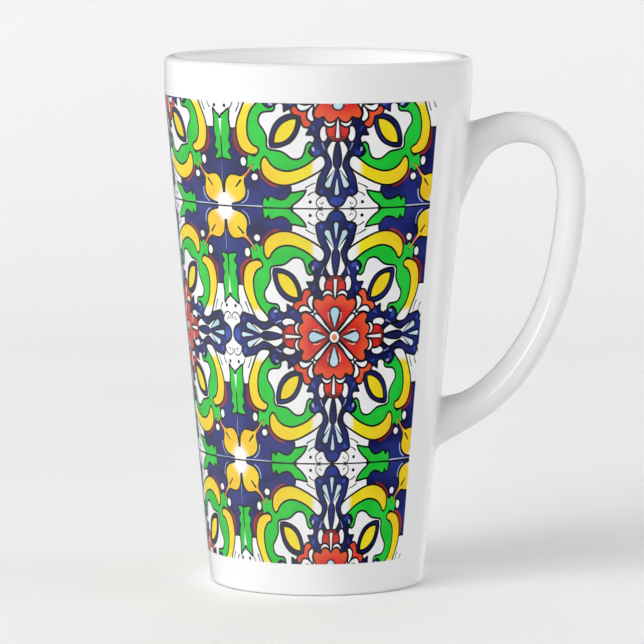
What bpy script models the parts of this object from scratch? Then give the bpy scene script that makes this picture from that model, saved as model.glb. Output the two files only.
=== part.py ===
"""A tall conical ceramic latte mug: cup, strap handle, its two slip joints and the printed wrap.

Metres, +Z up. The origin is on the cup's axis at the foot plane, and the handle stands along +X.
"""

from math import cos, pi, radians, sin, sqrt

import bmesh
import bpy
from mathutils import Matrix, Vector

MM = 0.001

# Cup, outside
CUP_HEIGHT = 150.0 * MM
RIM_RADIUS = 43.65 * MM
COLLAR_HEIGHT = 140.15 * MM
COLLAR_BLEND = 1.1 * MM
FOOT_RADIUS = 30.3 * MM
LIP_OUTER_RADIUS = 2.0 * MM
LIP_INNER_RADIUS = 1.4 * MM
FOOT_EDGE_RADIUS = 1.2 * MM
FOOT_RING_WIDTH = 3.0 * MM
RECESS_DEPTH = 0.9 * MM
RECESS_SLOPE_WIDTH = 1.2 * MM

# Cup, inside
WALL = 4.0 * MM
WALL_TAPER_START = 112.0 * MM
FLOOR_TOP = 6.5 * MM
FLOOR_FILLET = 8.0 * MM

# Handle. Each station joins a point of the outer edge to one of the inner edge, and half the depth along Y:
# (outer x, outer z, inner x, inner z, half depth) in millimetres, from the upper root to the lower root.
HANDLE_STATIONS = (
    (44.6, 131.8, 42.5, 111.4, 8.0),
    (48.3, 132.9, 44.3, 115.4, 7.5),
    (52.6, 134.0, 47.9, 121.4, 7.0),
    (57.4, 134.2, 53.0, 124.8, 6.7),
    (62.9, 133.3, 58.6, 125.6, 6.6),
    (68.4, 130.6, 63.3, 124.0, 6.6),
    (72.8, 125.8, 66.3, 120.1, 6.6),
    (75.3, 118.8, 67.6, 114.9, 6.6),
    (76.1, 109.5, 67.8, 108.4, 6.6),
    (74.8, 96.0, 66.6, 97.6, 6.6),
    (71.8, 82.4, 63.9, 85.2, 6.6),
    (66.8, 70.0, 59.3, 74.0, 6.7),
    (59.8, 58.3, 53.0, 64.3, 6.8),
    (51.7, 49.9, 46.8, 57.8, 7.0),
    (44.1, 44.5, 41.7, 54.3, 7.3),
    (36.2, 39.8, 37.2, 53.0, 7.8),
)
HANDLE_RIDGE = 0.2
HANDLE_SQUARENESS = 2.5
SECTIONS_PER_STATION = 3
SECTION_SIDES = 24

# Slip joints between the cup and the handle, and the printed wrap
CLEARANCE = 0.3 * MM
SLIP_THICKNESS = 1.2 * MM
SLIP_FLARE = 1.6 * MM
ROOT_RINGS = (0.35, 0.7, 1.0)
WRAP_THICKNESS = 0.2 * MM
WRAP_BOTTOM = 9.1 * MM
WRAP_TOP = 139.0 * MM
WRAP_HALF_GAP = radians(40.0)

LATHE_STEPS = 72
ARC_STEPS = 6
BLEND_STEPS = 4
WELD = 0.00001


def clear_scene():
    for obj in list(bpy.data.objects):
        bpy.data.objects.remove(obj, do_unlink=True)


def finish(name, color, roughness, coat=0.0):
    """A Principled material for one piece."""
    material = bpy.data.materials.new(name)
    material.use_nodes = True
    shader = material.node_tree.nodes["Principled BSDF"]
    shader.inputs["Base Color"].default_value = (*color, 1.0)
    shader.inputs["Roughness"].default_value = roughness
    shader.inputs["Metallic"].default_value = 0.0
    shader.inputs["Coat Weight"].default_value = coat
    return material


def add_piece(name, shape, material, sharp_angle=radians(40.0)):
    """Links a bmesh as a named, smooth-shaded object."""
    mesh = bpy.data.meshes.new(name)
    shape.to_mesh(mesh)
    shape.free()
    mesh.shade_smooth()
    mesh.set_sharp_from_angle(angle=sharp_angle)
    mesh.materials.append(material)
    piece = bpy.data.objects.new(name, mesh)
    bpy.context.scene.collection.objects.link(piece)
    return piece


def outer_radius(z):
    """Radius of the cup's straight conical side at height z, which runs from the foot's edge to the upright collar."""
    share = (z - FOOT_EDGE_RADIUS) / (COLLAR_HEIGHT - FOOT_EDGE_RADIUS)
    return FOOT_RADIUS + (RIM_RADIUS - FOOT_RADIUS) * share


def arc(centre, radius, start, end, steps=ARC_STEPS):
    """Points of an arc in the XZ plane, angles from +X towards +Z."""
    turns = (start + (end - start) * i / steps for i in range(steps + 1))
    return [(centre[0] + radius * cos(a), centre[1] + radius * sin(a)) for a in turns]


def collar_bend():
    """Points of the soft bend from the upright collar down to the conical side."""
    top = (RIM_RADIUS, COLLAR_HEIGHT + COLLAR_BLEND)
    middle = (RIM_RADIUS, COLLAR_HEIGHT)
    bottom = (outer_radius(COLLAR_HEIGHT - COLLAR_BLEND), COLLAR_HEIGHT - COLLAR_BLEND)
    shares = [i / BLEND_STEPS for i in range(BLEND_STEPS + 1)]
    return [
        tuple(a * (1 - t) ** 2 + b * 2 * t * (1 - t) + c * t * t for a, b, c in zip(top, middle, bottom))
        for t in shares
    ]


def cup_profile():
    """Half section from the inner floor's centre, up the inside, over the lip, down the outside to the base."""
    crest = RIM_RADIUS - LIP_OUTER_RADIUS
    fillet_top = FLOOR_TOP + FLOOR_FILLET
    fillet_centre = (outer_radius(fillet_top) - WALL - FLOOR_FILLET, fillet_top)
    foot_centre = (FOOT_RADIUS - FOOT_EDGE_RADIUS, FOOT_EDGE_RADIUS)
    ring_inner = FOOT_RADIUS - FOOT_EDGE_RADIUS - FOOT_RING_WIDTH
    points = [(0.0, FLOOR_TOP)]
    points += arc(fillet_centre, FLOOR_FILLET, -pi / 2, 0.0)
    points += [(outer_radius(WALL_TAPER_START) - WALL, WALL_TAPER_START)]
    points += arc((crest, CUP_HEIGHT - LIP_INNER_RADIUS), LIP_INNER_RADIUS, pi, pi / 2)
    points += arc((crest, CUP_HEIGHT - LIP_OUTER_RADIUS), LIP_OUTER_RADIUS, pi / 2, 0.0)[1:]
    points += collar_bend()
    points += arc(foot_centre, FOOT_EDGE_RADIUS, 0.0, -pi / 2)
    points += [(ring_inner, 0.0), (ring_inner - RECESS_SLOPE_WIDTH, RECESS_DEPTH), (0.0, RECESS_DEPTH)]
    return points


def make_cup(material):
    shape = bmesh.new()
    corners = [shape.verts.new((x, 0.0, z)) for x, z in cup_profile()]
    for first, second in zip(corners, corners[1:]):
        shape.edges.new((first, second))
    cup = add_piece("mug_body", shape, material)
    lathe = cup.modifiers.new("lathe", "SCREW")
    lathe.axis = "Z"
    lathe.angle = 2 * pi
    lathe.steps = LATHE_STEPS
    lathe.render_steps = LATHE_STEPS
    lathe.use_merge_vertices = True
    lathe.merge_threshold = WELD
    lathe.use_smooth_shade = True
    return cup


def on_cone(y, z, offset):
    """The point at y and z on the +X side of the cup's side surface, moved out by offset."""
    return Vector((sqrt((outer_radius(z) + offset) ** 2 - y * y), y, z))


def between(before, start, end, after, share):
    """Catmull-Rom value between start and end."""
    return 0.5 * (
        2 * start
        + (end - before) * share
        + (2 * before - 5 * start + 4 * end - after) * share**2
        + (3 * start - 3 * end + after - before) * share**3
    )


def handle_sections():
    """Smoothly spaced stations along the handle, in metres."""
    rows = [[value * MM for value in row] for row in HANDLE_STATIONS]
    ends = [[2 * a - b for a, b in zip(rows[0], rows[1])], [2 * a - b for a, b in zip(rows[-1], rows[-2])]]
    padded = [ends[0], *rows, ends[1]]
    made = []
    for i in range(len(rows) - 1):
        for step in range(SECTIONS_PER_STATION):
            share = step / SECTIONS_PER_STATION
            made.append([between(*values, share) for values in zip(*padded[i : i + 4])])
    return made + [rows[-1]]


def section_outline():
    """The strap's rounded section as (across, along Y), each from -1 to 1. Its widest line is nearer the outer edge."""
    outline = []
    for i in range(SECTION_SIDES):
        turn = 2 * pi * i / SECTION_SIDES
        power = 2 / HANDLE_SQUARENESS
        across = abs(cos(turn)) ** power * (1 if cos(turn) > 0 else -1)
        depth = abs(sin(turn)) ** power * (1 if sin(turn) > 0 else -1)
        outline.append((across + HANDLE_RIDGE * (1 - across * across), depth))
    return outline


def section_points(section):
    """One ring of the handle in the plane through its outer and inner edge."""
    outer_x, outer_z, inner_x, inner_z, half_depth = section
    centre = Vector(((outer_x + inner_x) / 2, 0.0, (outer_z + inner_z) / 2))
    reach = Vector(((outer_x - inner_x) / 2, 0.0, (outer_z - inner_z) / 2))
    return [centre + reach * u + Vector((0.0, half_depth * v, 0.0)) for u, v in section_outline()]


def root_rings(outline, offset):
    """Rings that fill a root's outline, and their middle, laid on the cup's side at the given offset."""
    middle = sum(outline, Vector()) / len(outline)
    spokes = [point - middle for point in outline]
    rings = [
        [on_cone(middle.y + spoke.y * scale, middle.z + spoke.z * scale, offset) for spoke in spokes]
        for scale in ROOT_RINGS
    ]
    return rings, on_cone(middle.y, middle.z, offset)


def flared(outline, following):
    """The outline carried on to the cup along the strap's own slope, then widened by the flare."""
    middle = sum(outline, Vector()) / len(outline)
    made = []
    for point, ahead in zip(outline, following):
        slope = (ahead - point) / max(ahead.x - point.x, SLIP_THICKNESS)
        spoke = Vector((0.0, point.y - middle.y, point.z - middle.z))
        made.append(point - slope * SLIP_THICKNESS + spoke.normalized() * SLIP_FLARE)
    return made


def skin(rings, start_tip, end_tip):
    """A closed bmesh through the rings, with a fan at each end."""
    shape = bmesh.new()
    loops = [[shape.verts.new(point) for point in ring] for ring in rings]
    tips = shape.verts.new(start_tip), shape.verts.new(end_tip)
    for i in range(SECTION_SIDES):
        j = (i + 1) % SECTION_SIDES
        for first, second in zip(loops, loops[1:]):
            shape.faces.new((first[i], first[j], second[j], second[i]))
        shape.faces.new((tips[0], loops[0][j], loops[0][i]))
        shape.faces.new((tips[1], loops[-1][i], loops[-1][j]))
    bmesh.ops.recalc_face_normals(shape, faces=shape.faces)
    return shape


def make_handle(sections, material):
    """The strap, with both ends hollowed to sit on the slip joints."""
    offset = CLEARANCE + SLIP_THICKNESS + CLEARANCE
    upper, upper_tip = root_rings(section_points(sections[0]), offset)
    lower, lower_tip = root_rings(section_points(sections[-1]), offset)
    middle = [section_points(section) for section in sections[1:-1]]
    return add_piece("handle", skin([*upper, *middle, *reversed(lower)], upper_tip, lower_tip), material)


def make_slip_joint(name, root, following, material):
    """The pad of slip between the cup and one end of the strap, flared where it meets the cup."""
    outline, ahead = section_points(root), section_points(following)
    inside, inside_tip = root_rings(flared(outline, ahead), CLEARANCE)
    outside, outside_tip = root_rings(outline, CLEARANCE + SLIP_THICKNESS)
    return add_piece(name, skin([*inside, *reversed(outside)], inside_tip, outside_tip), material)


def make_wrap(material):
    """The printed sheet round the cup, open in front of the handle."""
    shape = bmesh.new()
    heights = (WRAP_BOTTOM, WRAP_TOP)
    turn = Matrix.Rotation(WRAP_HALF_GAP, 3, "Z")
    corners = [shape.verts.new(turn @ Vector((outer_radius(z) + CLEARANCE, 0.0, z))) for z in heights]
    edge = shape.edges.new(corners)
    sweep = 2 * pi - 2 * WRAP_HALF_GAP
    steps = round(LATHE_STEPS * sweep / (2 * pi))
    bmesh.ops.spin(shape, geom=[*corners, edge], axis=(0, 0, 1), cent=(0, 0, 0), angle=sweep, steps=steps)
    shape.normal_update()
    inward = [face for face in shape.faces if face.normal.dot(face.calc_center_median()) < 0]
    bmesh.ops.reverse_faces(shape, faces=inward)
    wrap = add_piece("printed_wrap", shape, material)
    sheet = wrap.modifiers.new("sheet", "SOLIDIFY")
    sheet.thickness = WRAP_THICKNESS
    sheet.offset = 1.0
    return wrap


def main():
    clear_scene()
    glaze = finish("white_glaze", (0.86, 0.86, 0.87), 0.18, coat=0.3)
    slip = finish("joint_slip", (0.84, 0.84, 0.85), 0.25)
    print_film = finish("print_film", (0.05, 0.07, 0.38), 0.22)
    sections = handle_sections()
    make_cup(glaze)
    make_handle(sections, glaze)
    make_slip_joint("upper_slip_joint", sections[0], sections[SECTIONS_PER_STATION], slip)
    make_slip_joint("lower_slip_joint", sections[-1], sections[-1 - SECTIONS_PER_STATION], slip)
    make_wrap(print_film)


main()
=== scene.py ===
"""The looks of a tall conical latte mug with a strap handle and a tile-pattern print round it.

Metres, +Z up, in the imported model's frame: the origin is on the cup's axis at the foot plane, and the handle
stands along +X.
"""

from math import atan2, cos, hypot, pi, radians, sin, sqrt

import bmesh
import bpy
import numpy as np
from mathutils import Matrix, Vector
from mathutils.geometry import delaunay_2d_cdt


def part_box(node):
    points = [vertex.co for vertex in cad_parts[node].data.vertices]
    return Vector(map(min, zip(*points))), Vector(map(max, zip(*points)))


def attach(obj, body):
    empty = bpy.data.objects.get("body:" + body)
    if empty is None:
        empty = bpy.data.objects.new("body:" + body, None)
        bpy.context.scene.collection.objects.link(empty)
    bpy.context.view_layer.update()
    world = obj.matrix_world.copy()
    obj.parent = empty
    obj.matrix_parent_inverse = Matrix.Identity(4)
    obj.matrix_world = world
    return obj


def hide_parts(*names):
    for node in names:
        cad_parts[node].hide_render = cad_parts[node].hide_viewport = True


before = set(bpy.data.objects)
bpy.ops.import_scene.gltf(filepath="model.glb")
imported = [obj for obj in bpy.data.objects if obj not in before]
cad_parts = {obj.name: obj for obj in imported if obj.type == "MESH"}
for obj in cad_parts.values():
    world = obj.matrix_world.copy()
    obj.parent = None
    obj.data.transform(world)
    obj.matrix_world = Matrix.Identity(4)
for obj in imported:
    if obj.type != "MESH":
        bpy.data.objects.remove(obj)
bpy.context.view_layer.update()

MM = 0.001

# The cup. Its height and rim come from the frame, and the rest are the model's own dimensions.
CUP_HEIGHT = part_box("mug_body")[1].z
RIM_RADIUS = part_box("mug_body")[1].x
FOOT_RADIUS = 30.3 * MM
COLLAR_HEIGHT = 140.15 * MM
COLLAR_BLEND = 1.1 * MM
LIP_OUTER_RADIUS = 2.0 * MM
LIP_INNER_RADIUS = 1.4 * MM
LIP_MARGIN = 0.15 * MM
FOOT_EDGE_RADIUS = 1.2 * MM
FOOT_RING_WIDTH = 3.0 * MM
RECESS_DEPTH = 0.9 * MM
RECESS_SLOPE_WIDTH = 1.2 * MM
WALL = 4.0 * MM
WALL_TAPER_START = 112.0 * MM
FLOOR_TOP = 6.5 * MM
FLOOR_FILLET = 8.0 * MM
LATHE_SIDES = 256
ARC_STEPS = 14
SHARP_ANGLE = radians(50.0)
BLEND_STEPS = 12
WALL_ROWS = 24

# The handle. Each station joins a point of the outer edge to one of the inner edge, and gives half the depth
# along Y: (outer x, outer z, inner x, inner z, half depth) in millimetres, from the upper to the lower root.
HANDLE_STATIONS = (
    (44.6, 131.8, 42.5, 111.4, 8.0),
    (48.3, 132.9, 44.3, 115.4, 7.5),
    (52.6, 134.0, 47.9, 121.4, 7.0),
    (57.4, 134.2, 53.0, 124.8, 6.7),
    (62.9, 133.3, 58.6, 125.6, 6.6),
    (68.4, 130.6, 63.3, 124.0, 6.6),
    (72.8, 125.8, 66.3, 120.1, 6.6),
    (75.3, 118.8, 67.6, 114.9, 6.6),
    (76.1, 109.5, 67.8, 108.4, 6.6),
    (74.8, 96.0, 66.6, 97.6, 6.6),
    (71.8, 82.4, 63.9, 85.2, 6.6),
    (66.8, 70.0, 59.3, 74.0, 6.7),
    (59.8, 58.3, 53.0, 64.3, 6.8),
    (51.7, 49.9, 46.8, 57.8, 7.0),
    (44.1, 44.5, 41.7, 54.3, 7.3),
    (36.2, 39.8, 37.2, 53.0, 7.8),
)
HANDLE_RIDGE = 0.2
HANDLE_SQUARENESS = 2.5
STEPS_PER_STATION = 8
SECTION_SIDES = 72

# The slip that fills the corner between the handle and the cup
FILLET_REACH = 1.4 * MM
FILLET_FULLNESS = 0.7
FILLET_STEPS = 12
FILLET_SINK = 0.6 * MM


def arc(centre, radius, start, end):
    """Points of an arc in the XZ plane, angles from +X towards +Z."""
    turns = (start + (end - start) * i / ARC_STEPS for i in range(ARC_STEPS + 1))
    return [(centre[0] + radius * cos(a), centre[1] + radius * sin(a)) for a in turns]


def straight(start, end, steps):
    """Points between start and end, without either."""
    shares = (i / steps for i in range(1, steps))
    return [tuple(a + (b - a) * share for a, b in zip(start, end)) for share in shares]


def outer_radius(z):
    """Radius of the cup's straight conical side at height z, which runs up to the upright collar."""
    share = (z - FOOT_EDGE_RADIUS) / (COLLAR_HEIGHT - FOOT_EDGE_RADIUS)
    return FOOT_RADIUS + (RIM_RADIUS - FOOT_RADIUS) * share


def link_mesh(name, shape, materials):
    """Links a bmesh as a smooth-shaded object."""
    mesh = bpy.data.meshes.new(name)
    shape.to_mesh(mesh)
    shape.free()
    mesh.shade_smooth()
    mesh.set_sharp_from_angle(angle=SHARP_ANGLE)
    for material in materials:
        mesh.materials.append(material)
    piece = bpy.data.objects.new(name, mesh)
    bpy.context.scene.collection.objects.link(piece)
    return piece


def stand_for(piece, slot, *nodes):
    """Puts a finished piece in the frame, in place of its CAD nodes."""
    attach(piece, "root")
    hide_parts(*nodes)


# ---- shapes


def collar_bend():
    """Points of the bend from the upright collar down to the conical side."""
    top = (RIM_RADIUS, COLLAR_HEIGHT + COLLAR_BLEND)
    middle = (RIM_RADIUS, COLLAR_HEIGHT)
    bottom = (outer_radius(COLLAR_HEIGHT - COLLAR_BLEND), COLLAR_HEIGHT - COLLAR_BLEND)
    shares = [i / BLEND_STEPS for i in range(BLEND_STEPS + 1)]
    return [
        tuple(a * (1 - t) ** 2 + b * 2 * t * (1 - t) + c * t * t for a, b, c in zip(top, middle, bottom))
        for t in shares
    ]


def cup_profile():
    """Half section from the inner floor's centre up, over the lip and down the outside to the base."""
    crest = RIM_RADIUS - LIP_OUTER_RADIUS
    fillet_top = FLOOR_TOP + FLOOR_FILLET
    fillet_centre = (outer_radius(fillet_top) - WALL - FLOOR_FILLET, fillet_top)
    foot_centre = (FOOT_RADIUS - FOOT_EDGE_RADIUS, FOOT_EDGE_RADIUS)
    ring_inner = FOOT_RADIUS - FOOT_EDGE_RADIUS - FOOT_RING_WIDTH
    floor = arc(fillet_centre, FLOOR_FILLET, -pi / 2, 0.0)
    taper = (outer_radius(WALL_TAPER_START) - WALL, WALL_TAPER_START)
    lip = arc((crest, CUP_HEIGHT - LIP_INNER_RADIUS), LIP_INNER_RADIUS, pi, pi / 2)
    lip += arc((crest, CUP_HEIGHT - LIP_OUTER_RADIUS), LIP_OUTER_RADIUS, pi / 2, 0.0)[1:]
    foot = arc(foot_centre, FOOT_EDGE_RADIUS, 0.0, -pi / 2)
    points = [(0.0, FLOOR_TOP), *straight((0.0, FLOOR_TOP), floor[0], 6), *floor]
    points += [*straight(floor[-1], taper, WALL_ROWS), taper, *straight(taper, lip[0], 6), *lip]
    bend = collar_bend()
    edge = (RIM_RADIUS, lip[-1][1] - LIP_MARGIN)
    points += [edge, *straight(edge, bend[0], 3), *bend, *straight(bend[-1], foot[0], WALL_ROWS), *foot]
    points += [(ring_inner, 0.0), (ring_inner - RECESS_SLOPE_WIDTH, RECESS_DEPTH), (0.0, RECESS_DEPTH)]
    return points


def make_cup(material):
    """The cup, turned round its axis."""
    profile = cup_profile()
    shape = bmesh.new()
    tips = [shape.verts.new((0.0, 0.0, z)) for _, z in (profile[0], profile[-1])]
    rings = []
    for x, z in profile[1:-1]:
        turns = (2 * pi * i / LATHE_SIDES for i in range(LATHE_SIDES))
        rings.append([shape.verts.new((x * cos(a), x * sin(a), z)) for a in turns])
    for i in range(LATHE_SIDES):
        j = (i + 1) % LATHE_SIDES
        shape.faces.new((tips[0], rings[0][i], rings[0][j]))
        shape.faces.new((tips[1], rings[-1][j], rings[-1][i]))
        for first, second in zip(rings, rings[1:]):
            shape.faces.new((first[i], second[i], second[j], first[j]))
    bmesh.ops.recalc_face_normals(shape, faces=shape.faces)
    return link_mesh("cup_body", shape, [material])


def between(before, start, end, after, share):
    """Catmull-Rom value between start and end."""
    return 0.5 * (
        2 * start
        + (end - before) * share
        + (2 * before - 5 * start + 4 * end - after) * share**2
        + (3 * start - 3 * end + after - before) * share**3
    )


def handle_sections():
    """Smoothly spaced stations along the handle, in metres."""
    rows = [[value * MM for value in row] for row in HANDLE_STATIONS]
    ends = [[2 * a - b for a, b in zip(rows[0], rows[1])], [2 * a - b for a, b in zip(rows[-1], rows[-2])]]
    padded = [ends[0], *rows, ends[1]]
    made = []
    for i in range(len(rows) - 1):
        for step in range(STEPS_PER_STATION):
            share = step / STEPS_PER_STATION
            made.append([between(*values, share) for values in zip(*padded[i : i + 4])])
    return made + [rows[-1]]


def section_outline():
    """The strap's rounded section, (across, along Y) from -1 to 1, which is widest nearer its outer edge."""
    outline = []
    for i in range(SECTION_SIDES):
        turn = 2 * pi * i / SECTION_SIDES
        power = 2 / HANDLE_SQUARENESS
        across = abs(cos(turn)) ** power * (1 if cos(turn) > 0 else -1)
        depth = abs(sin(turn)) ** power * (1 if sin(turn) > 0 else -1)
        outline.append((across + HANDLE_RIDGE * (1 - across * across), depth))
    return outline


def section_points(section):
    """One ring of the handle in the plane through its outer and inner edge."""
    outer_x, outer_z, inner_x, inner_z, half_depth = section
    centre = Vector(((outer_x + inner_x) / 2, 0.0, (outer_z + inner_z) / 2))
    reach = Vector(((outer_x - inner_x) / 2, 0.0, (outer_z - inner_z) / 2))
    return [centre + reach * u + Vector((0.0, half_depth * v, 0.0)) for u, v in section_outline()]


def skin(rings):
    """A closed bmesh through the rings, with a fan to the middle of each end."""
    shape = bmesh.new()
    tips = [shape.verts.new(sum(ring, Vector()) / len(ring)) for ring in (rings[0], rings[-1])]
    loops = [[shape.verts.new(point) for point in ring] for ring in rings]
    for i in range(SECTION_SIDES):
        j = (i + 1) % SECTION_SIDES
        for first, second in zip(loops, loops[1:]):
            shape.faces.new((first[i], first[j], second[j], second[i]))
        shape.faces.new((tips[0], loops[0][j], loops[0][i]))
        shape.faces.new((tips[1], loops[-1][i], loops[-1][j]))
    bmesh.ops.recalc_face_normals(shape, faces=shape.faces)
    return shape


def make_handle(sections, material):
    """The strap, from one slip joint to the other."""
    return link_mesh("strap_handle", skin([section_points(section) for section in sections]), [material])


def on_cone(y, z, offset=0.0):
    """The point at y and z on the +X side of the cup's side, moved out by offset."""
    return Vector((sqrt((outer_radius(z) + offset) ** 2 - y * y), y, z))


def run_to_cone(point, ahead):
    """Where the line from ahead through point reaches the cup's side."""
    step = (point - ahead).normalized()
    for _ in range(12):
        gap = hypot(point.x, point.y) - outer_radius(point.z)
        nearer = point + step * gap
        closing = gap - (hypot(nearer.x, nearer.y) - outer_radius(nearer.z))
        if abs(closing) < 1e-9:
            break
        point = point + step * gap * gap / closing
    return point


def make_fillet(name, root, following, material):
    """The slip between a root of the strap and the cup, which meets both of them tangentially."""
    edge = section_points(root)
    corners = [run_to_cone(point, ahead) for point, ahead in zip(edge, section_points(following))]
    middle = sum(corners, Vector()) / len(corners)
    feet, sunk = [], []
    for i, corner in enumerate(corners):
        along = corners[(i + 1) % SECTION_SIDES] - corners[i - 1]
        out = Vector((0.0, along.z, -along.y)).normalized()
        if out.dot(corner - middle) < 0:
            out.negate()
        y, z = corner.y + out.y * FILLET_REACH, corner.z + out.z * FILLET_REACH
        feet.append(on_cone(y, z))
        sunk.append(on_cone(y, z, -FILLET_SINK))
    rings = [sunk]
    for step in range(FILLET_STEPS + 1):
        share = step / FILLET_STEPS
        weights = (1 - share) ** 2, 2 * share * (1 - share) * FILLET_FULLNESS, share**2
        ring = [
            (foot * weights[0] + corner * weights[1] + top * weights[2]) / sum(weights)
            for foot, corner, top in zip(feet, corners, edge)
        ]
        rings.append(ring)
    return link_mesh(name, skin(rings), [material])


# ---- the printed tile

# Lengths in tile units, where half a tile is 1. LINE is the dark outlines' width.
LINE = 0.016
POINT_SPACING = 0.016

# CORNER_REACH limits how far a corner runs out when an outline is grown.
CORNER_REACH = 1.6
DROP_HALF_ARC = 0.65 * pi

# A motif is drawn in one corner of the tile, u and v from the tile's centre, both from 0 to 1, and mirrored.
CORNERS = ((1, 1), (-1, 1), (-1, -1), (1, -1))
RIGHT_CORNERS = ((1, 1), (1, -1))
LEFT_CORNERS = ((-1, 1), (-1, -1))
LOWER_CORNERS = ((-1, -1), (1, -1))


def curve_points(points, before, after):
    """Points along the smooth curve through points, without the last one. before and after steer its ends."""
    row = [before, *points, after]
    made = []
    for a, b, c, d in zip(row, row[1:], row[2:], row[3:]):
        steps = max(1, round(hypot(c[0] - b[0], c[1] - b[1]) / POINT_SPACING))
        for step in range(steps):
            share = step / steps
            made.append(tuple(between(*values, share) for values in zip(a, b, c, d)))
    return made


def onward(a, b):
    """b, carried on as far again from a."""
    return 2 * b[0] - a[0], 2 * b[1] - a[1]


def outline(*runs):
    """A closed outline. Each run is a smooth curve to the next run's first point, where there is a corner."""
    if len(runs) == 1:
        run = runs[0]
        return curve_points([*run, run[0]], run[-1], run[1])
    made = []
    for run, following in zip(runs, [*runs[1:], runs[0]]):
        points = [*run, following[0]]
        made += curve_points(points, onward(points[1], points[0]), onward(points[-2], points[-1]))
    return made


def both_sides(points):
    """A closed smooth outline, given its half from the axis u = 0 round to the axis again."""
    return outline([*points, *((-u, v) for u, v in reversed(points) if u > 0)])


def oval(centre, half_u, half_v, turn=0.0):
    """An ellipse, turned anticlockwise."""
    steps = max(10, round(2 * pi * max(half_u, half_v) / POINT_SPACING))
    made = []
    for i in range(steps):
        a = 2 * pi * i / steps
        x, y = half_u * cos(a), half_v * sin(a)
        made.append((centre[0] + x * cos(turn) - y * sin(turn), centre[1] + x * sin(turn) + y * cos(turn)))
    return made


def stroke(points, start_width, end_width):
    """A brush stroke along points, as a closed outline that tapers from one width to the other."""
    line = curve_points(points, onward(points[1], points[0]), onward(points[-2], points[-1])) + [points[-1]]
    sides = [], []
    for i, (u, v) in enumerate(line):
        back, ahead = line[max(i - 1, 0)], line[min(i + 1, len(line) - 1)]
        du, dv = ahead[0] - back[0], ahead[1] - back[1]
        length = hypot(du, dv)
        half = (start_width + (end_width - start_width) * i / (len(line) - 1)) / 2
        sides[0].append((u - dv / length * half, v + du / length * half))
        sides[1].append((u + dv / length * half, v - du / length * half))
    return sides[0] + sides[1][::-1]


def drop(tip, centre, radius):
    """A teardrop from its tip to a round end."""
    du, dv = centre[0] - tip[0], centre[1] - tip[1]
    length = hypot(du, dv)
    facing = atan2(dv, du)
    made = [tip]
    steps = max(8, round(2 * DROP_HALF_ARC * radius / POINT_SPACING))
    for i in range(steps + 1):
        a = facing - DROP_HALF_ARC + 2 * DROP_HALF_ARC * i / steps
        made.append((centre[0] + radius * cos(a), centre[1] + radius * sin(a)))
    return made


def grown(points, amount):
    """The outline moved outwards by amount, or inwards where it is negative."""
    area = sum(a[0] * b[1] - b[0] * a[1] for a, b in zip(points, points[1:] + points[:1]))
    side = amount if area > 0 else -amount
    made = []
    for i, (u, v) in enumerate(points):
        back, ahead = points[i - 1], points[(i + 1) % len(points)]
        first = (u - back[0], v - back[1])
        second = (ahead[0] - u, ahead[1] - v)
        first_length, second_length = hypot(*first), hypot(*second)
        nu = first[1] / first_length + second[1] / second_length
        nv = -first[0] / first_length - second[0] / second_length
        size = nu * nu + nv * nv
        reach = min(2 / size, CORNER_REACH) if size > 1e-9 else 0.0
        made.append((u + nu * side * reach, v + nv * side * reach))
    return made


class Tile:
    """The tile's painted areas, from the bottom one to the top one, as (ink, outline)."""

    def __init__(self):
        self.areas = []

    def paint(self, ink, points, line=LINE):
        """An area with a dark line round it."""
        if line:
            self.areas.append(("line", grown(points, line / 2)))
            points = grown(points, -line / 2)
        self.areas.append((ink, points))

    def corners(self, ink, points, line=LINE, swap=False, only=CORNERS):
        """The area in the corners, mirrored. swap exchanges u and v."""
        for su, sv in only:
            placed = [(v * su, u * sv) if swap else (u * su, v * sv) for u, v in points]
            self.paint(ink, placed, line)

    def arms(self, ink, points, line=LINE):
        """The area on each arm. It is drawn on the one along +v."""
        for c, s in ((1, 0), (0, 1), (-1, 0), (0, -1)):
            self.paint(ink, [(u * c - v * s, u * s + v * c) for u, v in points], line)

    def beside_arms(self, ink, points, line=LINE):
        """The area on both sides of each arm."""
        self.arms(ink, points, line)
        self.arms(ink, [(-u, v) for u, v in points], line)


def paint_ground(tile):
    """White, with navy in the corners."""
    tile.areas.append(("white", [(-1, -1), (1, -1), (1, 1), (-1, 1)]))
    field = outline(
        [(1.0, 1.0)],
        [(0.37, 1.0), (0.365, 0.93), (0.378, 0.87), (0.395, 0.82)],
        [(0.52, 0.80), (0.62, 0.74), (0.62, 0.62)],
        [(0.74, 0.60), (0.84, 0.50), (0.845, 0.40)],
        [(0.87, 0.395), (0.93, 0.393), (1.0, 0.40)],
    )
    tile.corners("navy", field)
    glint = stroke([(0.992, 0.66), (0.991, 0.76), (0.992, 0.90)], 0.003, 0.006)
    tile.corners("pale", glint, line=0, only=RIGHT_CORNERS)


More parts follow.
